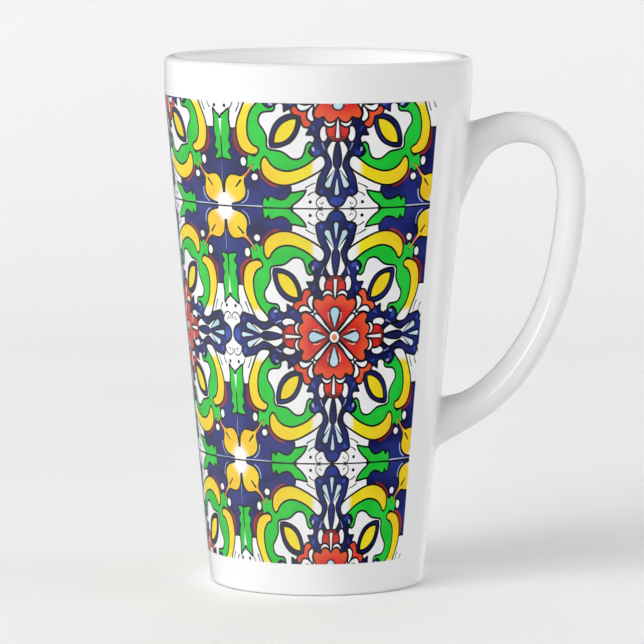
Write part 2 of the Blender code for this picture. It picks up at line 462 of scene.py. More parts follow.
def paint_green(tile):
    """The green scroll round each corner's cell, with a spiky bud at its back."""
    scroll = outline(
        [(0.225, 0.484), (0.25, 0.505), (0.266, 0.56), (0.288, 0.602), (0.331, 0.619), (0.375, 0.612),
         (0.42, 0.58), (0.456, 0.561), (0.507, 0.553), (0.56, 0.543), (0.578, 0.515), (0.577, 0.45),
         (0.605, 0.392), (0.638, 0.346), (0.637, 0.302), (0.61, 0.265), (0.566, 0.254), (0.522, 0.250),
         (0.502, 0.225)],
        [(0.507, 0.185), (0.535, 0.197), (0.56, 0.213), (0.595, 0.20), (0.622, 0.152)],
        [(0.70, 0.21), (0.77, 0.33), (0.78, 0.42), (0.74, 0.51), (0.672, 0.59)],
        [(0.70, 0.60), (0.74, 0.585), (0.752, 0.61), (0.766, 0.688)],
        [(0.735, 0.70), (0.70, 0.728)],
        [(0.67, 0.703), (0.63, 0.724)],
        [(0.60, 0.72), (0.50, 0.76), (0.40, 0.765), (0.30, 0.74), (0.18, 0.65), (0.17, 0.605)],
        [(0.21, 0.59), (0.232, 0.555), (0.215, 0.52), (0.195, 0.497)],
    )
    tile.corners("green", scroll)


def paint_bananas(tile):
    """The two curved fruits outside each scroll: one lies along the tile's width, one stands beside it."""
    lying_fringe = [(0.632, 0.66), (0.648, 0.735), (0.60, 0.795), (0.54, 0.83), (0.485, 0.835)]
    standing_fringe = [(0.74, 0.60), (0.80, 0.592), (0.862, 0.54), (0.876, 0.47), (0.858, 0.39)]
    tile.corners("fringe", outline(lying_fringe, [(0.57, 0.76)]), line=0)
    tile.corners("fringe", outline(standing_fringe, [(0.80, 0.50)]), line=0)
    lying = outline(
        [(0.598, 0.603), (0.622, 0.625), (0.633, 0.67), (0.623, 0.73), (0.585, 0.775), (0.52, 0.81),
         (0.44, 0.823), (0.36, 0.811), (0.28, 0.781), (0.20, 0.742), (0.13, 0.70), (0.10, 0.665),
         (0.098, 0.625), (0.117, 0.594), (0.148, 0.59), (0.19, 0.618), (0.25, 0.66), (0.32, 0.692),
         (0.39, 0.71), (0.45, 0.708), (0.51, 0.688), (0.553, 0.652), (0.578, 0.614)],
    )
    tile.corners("yellow", lying)
    standing = outline(
        [(0.647, 0.55), (0.66, 0.58), (0.70, 0.591), (0.76, 0.578), (0.81, 0.543), (0.838, 0.48),
         (0.846, 0.40), (0.832, 0.33), (0.795, 0.25), (0.757, 0.175), (0.725, 0.13), (0.69, 0.11),
         (0.645, 0.106), (0.612, 0.115), (0.608, 0.14), (0.65, 0.187), (0.70, 0.24), (0.732, 0.31),
         (0.744, 0.39), (0.735, 0.46), (0.70, 0.512), (0.662, 0.53)],
    )
    tile.corners("yellow", standing)


def paint_lemon(tile):
    """The navy almond in each cell, with a yellow lens in it."""
    rind = outline(
        [(0.545, 0.527), (0.50, 0.53), (0.44, 0.517), (0.375, 0.485), (0.33, 0.43), (0.302, 0.36),
         (0.292, 0.288)],
        [(0.335, 0.264), (0.40, 0.277), (0.46, 0.305), (0.51, 0.355), (0.54, 0.42), (0.554, 0.49)],
    )
    lens = outline(
        [(0.518, 0.499), (0.46, 0.495), (0.405, 0.47), (0.36, 0.42), (0.334, 0.36)],
        [(0.325, 0.303), (0.38, 0.308), (0.44, 0.338), (0.485, 0.385), (0.51, 0.44)],
    )
    tile.corners("navy", rind)
    tile.corners("lemon", lens)


def paint_arms(tile):
    """The four navy arms, each with a white stem, drops and a horn on both sides."""
    arm = both_sides(
        [(0, 0.988), (0.045, 0.972), (0.073, 0.935), (0.09, 0.902), (0.14, 0.895), (0.172, 0.87),
         (0.165, 0.82), (0.147, 0.75), (0.108, 0.69), (0.098, 0.63), (0.11, 0.56), (0.06, 0.48), (0, 0.46)]
    )
    tile.arms("navy", arm)
    lit_tip = both_sides([(0, 0.975), (0.035, 0.962), (0.055, 0.935), (0.03, 0.915), (0, 0.908)])
    tile.arms("cobalt", lit_tip, line=0)
    tile.beside_arms("cobalt", oval((0.125, 0.863), 0.02, 0.014, 0.4), line=0)
    horn = outline(
        [(0.095, 0.60), (0.14, 0.604), (0.175, 0.600), (0.210, 0.583), (0.226, 0.551), (0.208, 0.515)],
        [(0.19, 0.482), (0.182, 0.455)],
        [(0.20, 0.428), (0.25, 0.428)],
        [(0.234, 0.40), (0.225, 0.36), (0.19, 0.315), (0.15, 0.29), (0.104, 0.287)],
        [(0.082, 0.346), (0.072, 0.42), (0.062, 0.478), (0.094, 0.54)],
    )
    tile.beside_arms("navy", horn)
    tile.beside_arms("cobalt", oval((0.165, 0.565), 0.03, 0.018, 0.5), line=0)
    tile.beside_arms("cobalt", oval((0.195, 0.375), 0.012, 0.03, 0.5), line=0)
    tile.beside_arms("pale", oval((0.196, 0.538), 0.011, 0.019, 0.3), line=0)
    tile.beside_arms("pale", stroke([(0.098, 0.545), (0.117, 0.512), (0.122, 0.484)], 0.004, 0.012), line=0)
    tile.arms("sky", drop((0, 0.75), (0, 0.875), 0.027))
    stem = outline(
        [(0.0, 0.70), (0.03, 0.72), (0.068, 0.772), (0.094, 0.768)],
        [(0.068, 0.71), (0.047, 0.665), (0.06, 0.61), (0.088, 0.55), (0.07, 0.505), (0.045, 0.475),
         (0.0, 0.46)],
        [(0.0, 0.58)],
    )
    tile.beside_arms("white", stem)
    tile.beside_arms("sky", drop((0.012, 0.685), (0.074, 0.812), 0.031))
    seed = both_sides([(0, 0.69), (0.022, 0.672), (0.032, 0.63), (0.028, 0.57), (0.016, 0.51), (0, 0.47)])
    tile.arms("navy", seed)
    tile.arms("navy", stroke([(0, 0.68), (0, 0.77)], 0.028, 0.010), line=0)


def paint_flower(tile):
    """The red flower in the middle, with its buds, lobes, crescents and stamens."""
    bud = both_sides([(0, 0.478), (0.045, 0.470), (0.077, 0.443), (0.092, 0.40), (0.078, 0.352), (0, 0.32)])
    tile.beside_arms("white", oval((0.112, 0.42), 0.036, 0.064))
    tile.arms("red", bud)
    bud_shade = both_sides([(0, 0.475), (0.04, 0.468), (0.07, 0.446), (0.04, 0.432), (0, 0.437)])
    tile.arms("fringe", bud_shade, line=0)
    tile.beside_arms("fringe", stroke([(0.022, 0.44), (0.024, 0.34)], 0.016, 0.008), line=0)
    tile.arms("white", stroke([(0, 0.455), (0, 0.30)], 0.036, 0.018), line=0.008)
    lobe = outline(
        [(0.20, 0.20), (0.238, 0.25), (0.246, 0.30), (0.213, 0.33)],
        [(0.207, 0.352), (0.24, 0.374), (0.275, 0.365), (0.292, 0.325)],
        [(0.30, 0.288), (0.355, 0.272)],
        [(0.376, 0.238), (0.356, 0.206)],
        [(0.33, 0.212), (0.29, 0.24), (0.25, 0.238)],
    )
    tile.corners("orange", lobe)
    cap = outline(
        [(0.004, 0.268), (0.016, 0.335), (0.05, 0.366), (0.09, 0.362), (0.115, 0.330)],
        [(0.108, 0.298), (0.05, 0.285)],
    )
    tile.beside_arms("white", cap)
    crescent = outline(
        [(0.193, 0.195), (0.222, 0.222), (0.245, 0.262), (0.243, 0.302), (0.212, 0.328)],
        [(0.186, 0.322), (0.188, 0.30), (0.199, 0.262), (0.192, 0.225)],
    )
    tile.corners("white", crescent)
    tile.corners("white", crescent, swap=True)
    petal = both_sides(
        [(0, 0.296), (0.025, 0.322), (0.063, 0.334), (0.095, 0.320), (0.113, 0.290), (0.143, 0.302),
         (0.173, 0.303), (0.192, 0.274), (0.182, 0.230), (0.145, 0.180), (0.104, 0.138), (0.05, 0.08),
         (0, 0.04)]
    )
    tile.arms("red", petal)
    tile.arms("fringe", drop((0, 0.05), (0.004, 0.18), 0.066), line=0)
    tile.beside_arms("blush", stroke([(0.044, 0.125), (0.058, 0.16), (0.056, 0.195)], 0.004, 0.011), line=0)
    stamen = outline(
        [(0.036, 0.026), (0.10, 0.078), (0.16, 0.128), (0.188, 0.158), (0.184, 0.181), (0.162, 0.186),
         (0.13, 0.163), (0.08, 0.102), (0.026, 0.038)],
    )
    tile.corners("white", stamen)
    tile.corners("line", stroke([(0.05, 0.06), (0.10, 0.115)], 0.006, 0.009), line=0, only=((-1, 1), (1, -1)))
    tile.arms("line", drop((0, 0.055), (0, 0.19), 0.05), line=0)
    tile.arms("sky", drop((0, 0.075), (0, 0.193), 0.038), line=0)
    tile.areas.append(("line", oval((0, 0), 0.056, 0.056)))
    tile.areas.append(("white", oval((0, 0), 0.043, 0.043)))
    tile.areas.append(("rust", oval((0, -0.003), 0.025, 0.026)))


def paint_seams(tile):
    """Leaves along the seams, a petal in each corner, white beads and the seams' own lines."""
    lying = outline(
        [(0.63, 1.0), (0.628, 0.95)],
        [(0.614, 0.91), (0.595, 0.922)],
        [(0.578, 0.938), (0.566, 0.913)],
        [(0.552, 0.906), (0.50, 0.927), (0.45, 0.932), (0.412, 0.912), (0.386, 0.88), (0.34, 0.873)],
        [(0.254, 0.857), (0.273, 0.895), (0.32, 0.942), (0.37, 0.975), (0.405, 1.0)],
    )
    tile.corners("green", lying)
    # The standing leaf is fuller on its right side, which is in the next tile's left corners.
    for side, narrower in ((LEFT_CORNERS, 0.0), (RIGHT_CORNERS, 0.024)):
        tip_u, notch_u = 0.902 + narrower, 0.922 + narrower
        standing = outline(
            [(1.0, 0.622), (0.965, 0.634), (tip_u, 0.638)],
            [(tip_u + 0.006, 0.605), (notch_u + 0.008, 0.574)],
            [(tip_u, 0.545), (tip_u + 0.007, 0.51)],
            [(notch_u, 0.482), (tip_u + 0.008, 0.45), (tip_u + 0.002, 0.40)],
            [(tip_u + 0.010, 0.32), (tip_u + 0.005, 0.243)],
            [(0.957, 0.272), (1.0, 0.33)],
        )
        tile.corners("green", standing, only=side)
    leaf_vein = outline([(1.0, 0.47)], [(0.997, 0.42), (0.992, 0.37), (0.985, 0.318)], [(1.0, 0.325)])
    tile.corners("white", leaf_vein, line=0)
    petal = outline(
        [(0.996, 0.93), (0.965, 0.985), (0.90, 0.976), (0.83, 0.956), (0.785, 0.915), (0.775, 0.865),
         (0.787, 0.815)],
        [(0.785, 0.785), (0.755, 0.73), (0.698, 0.667)],
        [(0.76, 0.715), (0.82, 0.757)],
        [(0.87, 0.75), (0.93, 0.752), (0.978, 0.80), (0.992, 0.87)],
    )
    tile.corners("amber", petal)
    tile.corners("rust", stroke([(0.788, 0.766), (0.757, 0.730), (0.712, 0.683)], 0.020, 0.005), line=0)
    tile.corners("line", stroke([(0.875, 0.847), (0.82, 0.79)], 0.012, 0.018), line=0)
    rim_glint = stroke([(0.825, 0.973), (0.78, 0.945), (0.758, 0.90), (0.758, 0.865)], 0.008, 0.011)
    tile.corners("pale", rim_glint, line=0)
    heart = outline([(1.0, 1.0)], [(0.93, 1.0), (0.925, 0.965), (0.95, 0.93), (0.985, 0.90), (1.0, 0.895)])
    tile.corners("white", heart, line=0)
    tile.corners("white", oval((0.691, 0.764), 0.036, 0.034))
    tile.corners("white", oval((0.79, 0.647), 0.033, 0.041))
    for v in (-1, 1):
        tile.areas.append(("line", stroke([(-1, v), (1, v)], 0.012, 0.012)))
    seam_glint = stroke([(0.63, 0.990), (0.80, 0.989), (0.93, 0.991)], 0.010, 0.006)
    tile.corners("pale", seam_glint, line=0, only=LOWER_CORNERS)


def paint_flourishes(tile):
    """Plain curls, ticks and dots on the white ground beside each arm's tip, the same at every arm."""
    marks = (
        ([(0.115, 0.985), (0.145, 0.992), (0.170, 0.962), (0.155, 0.922), (0.120, 0.902)], 0.008, 0.011),
        ([(0.112, 0.945), (0.125, 0.966), (0.142, 0.955)], 0.010, 0.005),
        ([(0.240, 0.900), (0.212, 0.878), (0.178, 0.868)], 0.012, 0.007),
        ([(0.262, 0.840), (0.222, 0.818), (0.175, 0.800)], 0.012, 0.007),
    )
    for mark in marks:
        tile.beside_arms("line", stroke(*mark), line=0)
    tile.beside_arms("line", oval((0.220, 0.948), 0.015, 0.014), line=0)


def paint_tile():
    """The whole tile's areas, from the bottom one to the top one."""
    tile = Tile()
    paint_ground(tile)
    paint_flourishes(tile)
    paint_green(tile)
    paint_lemon(tile)
    paint_arms(tile)
    paint_bananas(tile)
    paint_seams(tile)
    paint_flower(tile)
    return tile.areas


# ---- the print on the cup

# The print covers the cup from PRINT_START to PRINT_END, angles from -Y towards +X. The front tile is centred
# on TILE_TURN. The borders lie slightly above those of the CAD sheet, by the two margins.
BOTTOM_MARGIN = 0.15 * MM
TOP_MARGIN = 0.3 * MM
PRINT_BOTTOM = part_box("printed_wrap")[0].z + BOTTOM_MARGIN
PRINT_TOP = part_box("printed_wrap")[1].z + TOP_MARGIN
PRINT_END = radians(50.0)
PRINT_START = radians(-230.0)
TILE_TURN = radians(7.2)
TILE_HALF_ANGLE = radians(46.5)
TILE_MIDDLE = 74.05 * MM
TILE_HALF_HEIGHT = 36.0 * MM
PRINT_LIFT = 0.04 * MM
PRINT_SINK = 0.06 * MM
COLUMNS_PER_UNIT = 16
ROWS_PER_UNIT = 4
MERGE = 1e-5


def on_print(s, t, lift):
    """The point of the cup's side at s and t, in tile units from the middle of the front tile."""
    turn = TILE_TURN + s * TILE_HALF_ANGLE
    z = TILE_MIDDLE + t * TILE_HALF_HEIGHT
    radius = outer_radius(z) + lift
    return radius * sin(turn), -radius * cos(turn), z


def print_window():
    """The print's left, right, bottom and top in tile units."""
    left, right = ((turn - TILE_TURN) / TILE_HALF_ANGLE for turn in (PRINT_START, PRINT_END))
    bottom, top = ((z - TILE_MIDDLE) / TILE_HALF_HEIGHT for z in (PRINT_BOTTOM, PRINT_TOP))
    return left, right, bottom, top


def inside(places, outline_points):
    """Which places lie in a closed outline, by its winding number."""
    winding = np.zeros(len(places), int)
    x, y = places[:, 0], places[:, 1]
    for (x0, y0), (x1, y1) in zip(outline_points, outline_points[1:] + outline_points[:1]):
        left_of = (x1 - x0) * (y - y0) - (x - x0) * (y1 - y0)
        winding += (y0 <= y) & (y1 > y) & (left_of > 0)
        winding -= (y0 > y) & (y1 <= y) & (left_of < 0)
    return winding != 0


def ink_at(places, areas):
    """The index of the topmost area's ink at each place, in tile units."""
    local = (places + 1.0) % 2.0 - 1.0
    found = np.zeros(len(places), int)
    for ink, points in areas:
        low, high = np.min(points, axis=0), np.max(points, axis=0)
        near = np.flatnonzero(((local >= low) & (local <= high)).all(axis=1))
        hit = near[inside(local[near], points)]
        found[hit] = INKS.index(ink)
    return found


def triangulate(points, edges):
    """Points and triangles of the flat mesh that keeps every edge."""
    made = delaunay_2d_cdt([Vector(point) for point in points], edges, [], 0, MERGE, False)
    return np.array([tuple(p) for p in made[0]]), np.array(made[2])


def add_loop(points, edges, loop):
    """Adds a closed loop."""
    first = len(points)
    points += loop
    edges += [(first + i, first + (i + 1) % len(loop)) for i in range(len(loop))]


def add_columns(points, edges):
    """Upright edges, close enough to follow the cup's round side."""
    left, right, bottom, top = print_window()
    for k in range(int(left * COLUMNS_PER_UNIT), int(right * COLUMNS_PER_UNIT) + 1):
        add_loop(points, edges, [(k / COLUMNS_PER_UNIT, bottom), (k / COLUMNS_PER_UNIT, top)])


def reaches_into(loop, low, high):
    """Whether a loop reaches into the box from low to high."""
    us, vs = zip(*loop)
    return max(us) > low[0] and min(us) < high[0] and max(vs) > low[1] and min(vs) < high[1]


def print_pattern():
    """The print laid flat: points, triangles and each triangle's ink. Its edges are where the ink changes and
    on the rows and columns that follow the cup's round side."""
    left, right, bottom, top = print_window()
    frame_loop = [(left, bottom), (right, bottom), (right, top), (left, top)]
    areas = paint_tile()
    points, edges = [], []
    add_loop(points, edges, frame_loop)
    for column in range(round(left / 2), round(right / 2) + 1):
        for row in range(round(bottom / 2), round(top / 2) + 1):
            for _, loop in areas:
                placed = [(u + 2 * column, v + 2 * row) for u, v in loop]
                if reaches_into(placed, (left, bottom), (right, top)):
                    add_loop(points, edges, placed)
    flat, triangles = triangulate(points, edges)
    inks = ink_at(flat[triangles].mean(axis=1), areas)
    # Only the edges where the ink changes are kept, and then the rows and columns are added.
    sides = {}
    for triangle, ink in zip(triangles, inks):
        for a, b in zip(triangle, np.roll(triangle, -1)):
            sides.setdefault((min(a, b), max(a, b)), []).append(ink)
    kept = [pair for pair, found in sides.items() if len(set(found)) > 1]
    used = sorted({int(i) for pair in kept for i in pair})
    renumbered = {old: new for new, old in enumerate(used)}
    points = [tuple(flat[i]) for i in used]
    edges = [(renumbered[a], renumbered[b]) for a, b in kept]
    add_loop(points, edges, frame_loop)
    add_columns(points, edges)
    for k in range(int(bottom * ROWS_PER_UNIT), int(top * ROWS_PER_UNIT) + 1):
        add_loop(points, edges, [(left, k / ROWS_PER_UNIT), (right, k / ROWS_PER_UNIT)])
    flat, triangles = triangulate(points, edges)
    middles = flat[triangles].mean(axis=1)
    within = (middles > (left, bottom)).all(axis=1) & (middles < (right, top)).all(axis=1)
    triangles, middles = triangles[within], middles[within]
    return flat, triangles, ink_at(middles, areas)


def border_order(flat):
    """Indices of the points on the print's border, anticlockwise from its lower left corner."""
    left, right, bottom, top = print_window()
    order = []
    for across, level, along, way in ((1, bottom, 0, 1), (0, right, 1, 1), (1, top, 0, -1), (0, left, 1, -1)):
        on_side = np.flatnonzero(np.abs(flat[:, across] - level) < MERGE)
        order += list(on_side[np.argsort(way * flat[on_side, along])][:-1])
    return order


def back_pattern(border):
    """The plain back of the print, laid flat, with the front's own border."""
    points, edges = [], []
    add_loop(points, edges, border)
    add_columns(points, edges)
    return triangulate(points, edges)


def cone_normal(s):
    """Which way the cup's side faces at s."""
    turn = TILE_TURN + s * TILE_HALF_ANGLE
    rise = (RIM_RADIUS - FOOT_RADIUS) / (COLLAR_HEIGHT - FOOT_EDGE_RADIUS)
    return Vector((sin(turn), -cos(turn), -rise)).normalized()


def make_print(materials):
    """The printed sheet round the cup, closed at its back. Each ink has its own material."""
    flat, triangles, inks = print_pattern()
    used, triangles = np.unique(triangles, return_inverse=True)
    flat, triangles = flat[used], triangles.reshape(-1, 3)
    border = border_order(flat)
    flat_back, back_triangles = back_pattern([tuple(flat[i]) for i in border])
    shape = bmesh.new()
    place = shape.verts.layers.float_vector.new("tile_place")
    sheets = []
    for points, lift in ((flat, PRINT_LIFT), (flat_back, -PRINT_SINK)):
        sheet = [shape.verts.new(on_print(s, t, lift)) for s, t in points]
        for vertex, (s, t) in zip(sheet, points):
            vertex[place] = abs((s + 1) % 2 - 1), abs((t + 1) % 2 - 1), 0.0
        sheets.append(sheet)
    front, back = sheets
    for triangle, ink in zip(triangles, inks):
        shape.faces.new([front[i] for i in triangle]).material_index = int(ink)
    for triangle in back_triangles:
        shape.faces.new([back[i] for i in triangle[::-1]])
    edge = list(zip(border, border_order(flat_back)))
    for (a, under_a), (b, under_b) in zip(edge, edge[1:] + edge[:1]):
        shape.faces.new((front[a], back[under_a], back[under_b], front[b]))
    bmesh.ops.recalc_face_normals(shape, faces=shape.faces)
    piece = link_mesh("printed_wrap_tiles", shape, materials)
    facing = [cone_normal(s) for s, _ in flat] + [-cone_normal(s) for s, _ in flat_back]
    piece.data.normals_split_custom_set_from_vertices(facing)
    return piece


# ---- materials

def new_material(name):
    """An empty Principled material: (material, tree, shader)."""
    material = bpy.data.materials.new(name)
    material.use_nodes = True
    return material, material.node_tree, material.node_tree.nodes["Principled BSDF"]


def math_node(tree, operation, *values):
    """The result of a Math node on sockets or plain numbers."""
    node = tree.nodes.new("ShaderNodeMath")
    node.operation = operation
    for socket, value in zip(node.inputs, values):
        if isinstance(value, (int, float)):
            socket.default_value = value
        else:
            tree.links.new(value, socket)
    return node.outputs["Value"]


def ramp(tree, value, low, high, at_low=0.0, at_high=1.0):
    """A smooth step from at_low to at_high, as value goes from low to high."""
    node = tree.nodes.new("ShaderNodeMapRange")
    node.interpolation_type = "SMOOTHSTEP"
    for name, number in zip(("From Min", "From Max", "To Min", "To Max"), (low, high, at_low, at_high)):
        node.inputs[name].default_value = number
    tree.links.new(value, node.inputs["Value"])
    return node.outputs["Result"]


def blend(tree, share, first, second):
    """The colour between first and second. Each is a socket or a colour."""
    node = tree.nodes.new("ShaderNodeMix")
    node.data_type = "RGBA"
    tree.links.new(share, node.inputs["Factor"])
    for socket, colour in zip((node.inputs[6], node.inputs[7]), (first, second)):
        if isinstance(colour, tuple):
            socket.default_value = (*colour, 1.0)
        else:
            tree.links.new(colour, socket)
    return node.outputs[2]


def noise(tree, scale, detail=2.0):
    """A noise value in the object's own space."""
    place = tree.nodes.new("ShaderNodeTexCoord")
    texture = tree.nodes.new("ShaderNodeTexNoise")
    texture.inputs["Scale"].default_value = scale
    texture.inputs["Detail"].default_value = detail
    tree.links.new(place.outputs["Object"], texture.inputs["Vector"])
    return texture.outputs["Fac"]


def bump(tree, height, distance):
    """A normal bumped by height."""
    node = tree.nodes.new("ShaderNodeBump")
    node.inputs["Distance"].default_value = distance
    tree.links.new(height, node.inputs["Height"])
    return node.outputs["Normal"]


def glaze_surface(tree, shader):
    """The fired gloss of the cup, the handle and the print: slightly uneven, with a very faint ripple."""
    least, most = GLAZE_ROUGHNESS - GLOSS_SPREAD, GLAZE_ROUGHNESS + GLOSS_SPREAD
    gloss = ramp(tree, noise(tree, GLOSS_PATCHES), 0.3, 0.7, least, most)
    tree.links.new(gloss, shader.inputs["Roughness"])
    tree.links.new(bump(tree, noise(tree, RIPPLES), RIPPLE_HEIGHT), shader.inputs["Normal"])
    shader.inputs["IOR"].default_value = GLAZE_IOR


def glaze_material():
    """White glazed earthenware: faint clouding, with a bare, matt and slightly warmer foot ring."""
    material, tree, shader = new_material("white_glaze")
    clouded = blend(tree, noise(tree, GLAZE_CLOUDS, 3.0), GLAZE_GREY, GLAZE_WHITE)
    place = tree.nodes.new("ShaderNodeTexCoord")
    axes = tree.nodes.new("ShaderNodeSeparateXYZ")
    tree.links.new(place.outputs["Object"], axes.inputs["Vector"])
    bare = ramp(tree, axes.outputs["Z"], BARE_HEIGHT, GLAZED_HEIGHT, 1.0, 0.0)
    speckled = blend(tree, noise(tree, BODY_SPECKLE, 4.0), BARE_DARK, BARE_LIGHT)
    tree.links.new(blend(tree, bare, clouded, speckled), shader.inputs["Base Color"])
    glaze_surface(tree, shader)
    gloss = shader.inputs["Roughness"].links[0].from_socket
    matt = math_node(tree, "MULTIPLY", bare, BARE_ROUGHNESS)
    tree.links.new(math_node(tree, "MAXIMUM", gloss, matt), shader.inputs["Roughness"])
    return material


GLAZE_ROUGHNESS = 0.08
GLOSS_SPREAD = 0.03
GLAZE_IOR = 1.5
GLAZE_WHITE = (0.87, 0.865, 0.868)
GLAZE_GREY = (0.835, 0.832, 0.84)
GLAZE_CLOUDS = 35.0
GLOSS_PATCHES = 60.0
RIPPLES = 180.0
RIPPLE_HEIGHT = 0.004 * MM
BARE_HEIGHT = 0.1 * MM
GLAZED_HEIGHT = 0.5 * MM
BARE_LIGHT = (0.78, 0.74, 0.68)
BARE_DARK = (0.62, 0.57, 0.50)
BODY_SPECKLE = 900.0
BARE_ROUGHNESS = 0.75

# Each ink's thin and thick tone. The pattern's own shades come from where they are in the tile.
INK_TONES = {
    "white": ((0.83, 0.83, 0.85), (0.87, 0.865, 0.87)),
    "line": ((0.003, 0.003, 0.005), (0.008, 0.007, 0.012)),
    "navy": ((0.003, 0.005, 0.055), (0.014, 0.020, 0.17)),
    "green": ((0.010, 0.49, 0.032), (0.018, 0.57, 0.046)),
    "yellow": ((0.85, 0.73, 0.012), (0.83, 0.67, 0.010)),
    "lemon": ((0.85, 0.71, 0.015), (0.82, 0.61, 0.010)),
    "amber": ((0.82, 0.60, 0.016), (0.82, 0.50, 0.016)),
    "red": ((0.62, 0.016, 0.012), (0.71, 0.036, 0.020)),
    "orange": ((0.72, 0.050, 0.018), (0.78, 0.095, 0.030)),
    "sky": ((0.40, 0.62, 0.74), (0.56, 0.73, 0.82)),
    "fringe": ((0.20, 0.010, 0.008), (0.36, 0.032, 0.018)),
    "pale": ((0.22, 0.30, 0.55), (0.50, 0.57, 0.76)),
    "cobalt": ((0.012, 0.030, 0.24), (0.035, 0.085, 0.42)),
    "blush": ((0.80, 0.38, 0.24), (0.84, 0.60, 0.48)),
    "rust": ((0.74, 0.15, 0.05), (0.80, 0.28, 0.11)),
}
INKS = tuple(INK_TONES)
PAPER = (0.85, 0.85, 0.86)
RIPE_ORANGE = (0.83, 0.52, 0.018)
STEM_RUST = (0.80, 0.30, 0.03)
DEEP_RED = (0.33, 0.010, 0.008)
PETAL_ORANGE = (0.79, 0.13, 0.030)
LIGHT_NAVY = (0.018, 0.034, 0.24)


def shade_banana(tree, tone, u, v):
    """White at the end near an arm, then yellow, with an orange tint at the outer end."""
    from_arm = math_node(tree, "MINIMUM", u, v)
    outwards = math_node(tree, "ADD", u, v)
    ripe = blend(tree, ramp(tree, outwards, 1.0, 1.36, 0.0, 0.7), tone, RIPE_ORANGE)
    return blend(tree, ramp(tree, from_arm, 0.165, 0.225), PAPER, ripe)


def shade_petal(tree, tone, u, v):
    """Amber, white at the tile's corner and orange at the stem."""
    from_corner = math_node(tree, "SUBTRACT", 2.0, math_node(tree, "ADD", u, v))
    rusty = blend(tree, ramp(tree, from_corner, 0.38, 0.52, 0.0, 0.6), tone, STEM_RUST)
    return blend(tree, ramp(tree, from_corner, 0.08, 0.20), PAPER, rusty)


def shade_flower(tree, tone, u, v):
    """Deeper red in the middle and lighter orange at the petals' rim. The buds further out stay red."""
    squares = [math_node(tree, "MULTIPLY", axis, axis) for axis in (u, v)]
    distance = math_node(tree, "SQRT", math_node(tree, "ADD", *squares))
    deep = blend(tree, ramp(tree, distance, 0.04, 0.17), DEEP_RED, tone)
    rim = ramp(tree, distance, 0.22, 0.31, 0.0, 0.55)
    on_petals = ramp(tree, distance, 0.325, 0.36, 1.0, 0.0)
    return blend(tree, math_node(tree, "MULTIPLY", rim, on_petals), deep, PETAL_ORANGE)


def shade_field(tree, tone, u, v):
    """Navy that lightens towards the tile's seams and the arms' tips."""
    outer = math_node(tree, "MAXIMUM", u, v)
    return blend(tree, ramp(tree, outer, 0.80, 1.0, 0.0, 0.5), tone, LIGHT_NAVY)


SHADES = {
    "yellow": shade_banana,
    "amber": shade_petal,
    "red": shade_flower,
    "orange": shade_flower,
    "navy": shade_field,
}


def ink_material(ink):
    """A fired ink, brushed a little unevenly."""
    material, tree, shader = new_material("ink_" + ink)
    brushed = ramp(tree, noise(tree, BRUSH_PATCHES, 3.0), 0.35, 0.65)
    colour = blend(tree, brushed, *INK_TONES[ink])
    if ink in SHADES:
        place = tree.nodes.new("ShaderNodeAttribute")
        place.attribute_name = "tile_place"
        axes = tree.nodes.new("ShaderNodeSeparateXYZ")
        tree.links.new(place.outputs["Vector"], axes.inputs["Vector"])
        colour = SHADES[ink](tree, colour, axes.outputs["X"], axes.outputs["Y"])
    tree.links.new(colour, shader.inputs["Base Color"])
    glaze_surface(tree, shader)
    return material


BRUSH_PATCHES = 110.0


# ---- camera, floor and light

CAMERA_PLACE = Vector((0.0, -1404.9, 230.4)) * MM
CAMERA_PITCH = 0.1108
CAMERA_YAW = -0.0009
CAMERA_ROLL = 0.004
CAMERA_LENS_MM = 277.4
SENSOR_MM = 36.0


def add_camera():
    """The camera at the photograph's viewing angle."""
    camera = bpy.data.objects.new("camera", bpy.data.cameras.new("camera"))
    camera.data.sensor_width = SENSOR_MM
    camera.data.lens = CAMERA_LENS_MM
    turn = Matrix.Rotation(CAMERA_YAW, 4, "Z") @ Matrix.Rotation(pi / 2 - CAMERA_PITCH, 4, "X")
    turn = turn @ Matrix.Rotation(CAMERA_ROLL, 4, "Z")
    camera.matrix_world = Matrix.Translation(CAMERA_PLACE) @ turn
    bpy.context.scene.collection.objects.link(camera)
    bpy.context.scene.camera = camera


def add_floor(material):
    """A pale floor that sweeps up into a wall behind the mug."""
    half_width, front, foot, sweep, top = 3.0, -2.5, 0.42, 0.2, 3.0
    side = [(front, 0.0), (foot, 0.0)]
    side += [(foot + sweep * sin(a), sweep - sweep * cos(a)) for a in (pi / 2 * i / 16 for i in range(1, 17))]
    side += [(foot + sweep, top)]
    shape = bmesh.new()
    rows = [[shape.verts.new((x, y, z)) for x in (-half_width, half_width)] for y, z in side]
    for first, second in zip(rows, rows[1:]):
        shape.faces.new((first[0], first[1], second[1], second[0]))
    floor = link_mesh("floor", shape, [material])
    floor.visible_glossy = False


MUG_MIDDLE = (0.0, 0.0, 0.08)


def add_light(name, place, side, power, aim=MUG_MIDDLE):
    """A soft square light that faces aim. It has no mirror image in the glaze."""
    lamp = bpy.data.lights.new(name, "AREA")
    lamp.shape = "SQUARE"
    lamp.size = side
    lamp.energy = power
    light = bpy.data.objects.new(name, lamp)
    facing = (Vector(aim) - Vector(place)).to_track_quat("-Z", "Y").to_matrix().to_4x4()
    light.matrix_world = Matrix.Translation(place) @ facing
    light.visible_glossy = False
    light.visible_camera = False
    bpy.context.scene.collection.objects.link(light)
    return light


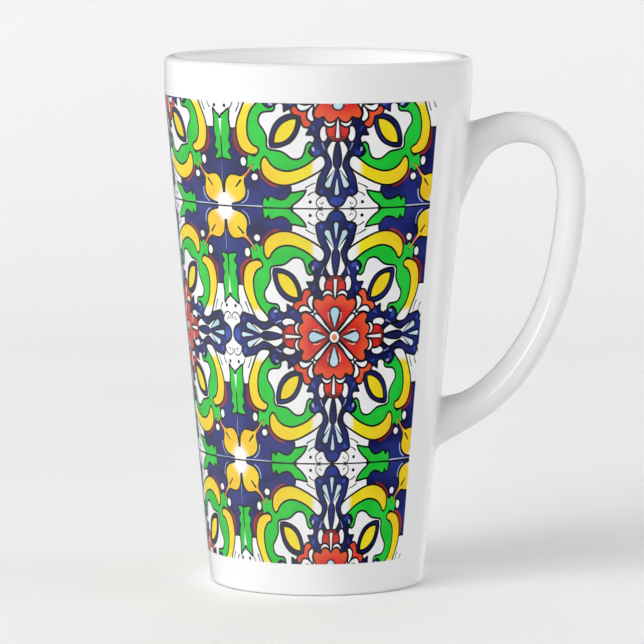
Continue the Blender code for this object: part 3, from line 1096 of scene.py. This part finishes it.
def add_sparkle(handle):
    """A strip light in front on the left, whose mirror image is the crisp line along the handle's lower half.
    It lights nothing else."""
    light = add_light("sparkle", SPARKLE_PLACE, SPARKLE_LENGTH, SPARKLE_POWER)
    light.data.shape = "RECTANGLE"
    light.data.size_y = SPARKLE_WIDTH
    light.visible_glossy = True
    light.visible_diffuse = False
    lit = bpy.data.collections.new("lit_by_sparkle")
    lit.objects.link(handle)
    light.light_linking.receiver_collection = lit


# name, place, side, power
LIGHTS = (
    ("low_left", (-1.3, -0.9, 0.25), 0.5, 4.9),
    ("front_left", (-1.1, -1.3, 1.2), 1.2, 20.2),
    ("front_right", (1.1, -1.3, 1.0), 1.2, 3.0),
    ("top_left", (-1.0, -0.35, 1.5), 1.0, 7.7),
    ("right", (1.5, -0.2, 0.6), 1.2, 11.3),
)
# The light that the cup's inner side throws back, shining up from inside the cup
BOUNCE_PLACE = (0.0, 0.0, 0.03)
BOUNCE_SIDE = 0.04
BOUNCE_POWER = 0.038
STRAIGHT_ABOVE = (0.0, 0.0, 1.0)
SPARKLE_PLACE = (-0.65, -1.5, 0.385)
SPARKLE_LENGTH = 1.05
SPARKLE_WIDTH = 0.11
SPARKLE_POWER = 3.0
WORLD_LEFT = 1.6
WORLD_RIGHT = 0.05
WORLD_BEHIND = 0.25
WORLD_EDGE = 0.75


def add_world():
    """What the glaze mirrors: a studio that is bright on the mug's left and dim on its right, with a pale
    strip behind it on the right that keeps the right-hand outlines light."""
    world = bpy.data.worlds.new("studio")
    world.use_nodes = True
    tree = world.node_tree
    place = tree.nodes.new("ShaderNodeTexCoord")
    axes = tree.nodes.new("ShaderNodeSeparateXYZ")
    tree.links.new(place.outputs["Generated"], axes.inputs["Vector"])
    across = ramp(tree, axes.outputs["X"], -0.25, 0.6, WORLD_LEFT, WORLD_RIGHT)
    behind = ramp(tree, axes.outputs["Y"], -0.1, 1.0, 1.0, WORLD_BEHIND)
    far_right = ramp(tree, axes.outputs["X"], -0.05, 0.1)
    far_back = ramp(tree, axes.outputs["Y"], 0.55, 0.95, 0.0, WORLD_EDGE)
    studio = math_node(tree, "MULTIPLY", across, behind)
    edge = math_node(tree, "MULTIPLY", far_right, far_back)
    tree.links.new(math_node(tree, "MAXIMUM", studio, edge), tree.nodes["Background"].inputs["Strength"])
    tree.nodes["Background"].inputs["Color"].default_value = (1.0, 1.0, 1.0, 1.0)
    bpy.context.scene.world = world
    world.cycles_visibility.diffuse = False


def floor_material():
    """A matt, pale tabletop and wall with a barely visible unevenness. They are seen from their front only,
    so that a view from behind the wall or from below still shows the mug."""
    material, tree, shader = new_material("pale_floor")
    patches = noise(tree, FLOOR_PATCHES, 3.0)
    place = tree.nodes.new("ShaderNodeTexCoord")
    axes = tree.nodes.new("ShaderNodeSeparateXYZ")
    tree.links.new(place.outputs["Object"], axes.inputs["Vector"])
    table = blend(tree, patches, FLOOR_GREY, FLOOR_WHITE)
    wall = blend(tree, patches, WALL_GREY, WALL_WHITE)
    on_wall = ramp(tree, axes.outputs["Z"], 0.0, WALL_START)
    tree.links.new(blend(tree, on_wall, table, wall), shader.inputs["Base Color"])
    tree.links.new(ramp(tree, patches, 0.3, 0.7, *FLOOR_ROUGHNESS), shader.inputs["Roughness"])
    side = tree.nodes.new("ShaderNodeNewGeometry")
    clear = tree.nodes.new("ShaderNodeBsdfTransparent")
    one_sided = tree.nodes.new("ShaderNodeMixShader")
    tree.links.new(side.outputs["Backfacing"], one_sided.inputs["Fac"])
    tree.links.new(shader.outputs["BSDF"], one_sided.inputs[1])
    tree.links.new(clear.outputs["BSDF"], one_sided.inputs[2])
    tree.links.new(one_sided.outputs["Shader"], tree.nodes["Material Output"].inputs["Surface"])
    return material


FLOOR_PATCHES = 7.0
FLOOR_ROUGHNESS = (0.55, 0.65)
FLOOR_WHITE = (0.965, 0.963, 0.962)
FLOOR_GREY = (0.935, 0.933, 0.934)
WALL_WHITE = (0.905, 0.905, 0.905)
WALL_GREY = (0.875, 0.875, 0.876)
WALL_START = 0.012


def main():
    bpy.context.scene.view_settings.view_transform = "Standard"
    add_camera()
    add_world()
    add_floor(floor_material())
    for light in LIGHTS:
        add_light(*light)
    add_light("cup_bounce", BOUNCE_PLACE, BOUNCE_SIDE, BOUNCE_POWER, STRAIGHT_ABOVE)
    glaze = glaze_material()
    sections = handle_sections()
    stand_for(make_print([ink_material(ink) for ink in INKS]), "print_film", "printed_wrap")
    stand_for(make_cup(glaze), "white_glaze", "mug_body")
    handle = make_handle(sections, glaze)
    stand_for(handle, "white_glaze", "handle")
    add_sparkle(handle)
    upper = make_fillet("upper_slip_fillet", sections[0], sections[1], glaze)
    stand_for(upper, "joint_slip", "upper_slip_joint")
    lower = make_fillet("lower_slip_fillet", sections[-1], sections[-2], glaze)
    stand_for(lower, "joint_slip", "lower_slip_joint")


main()
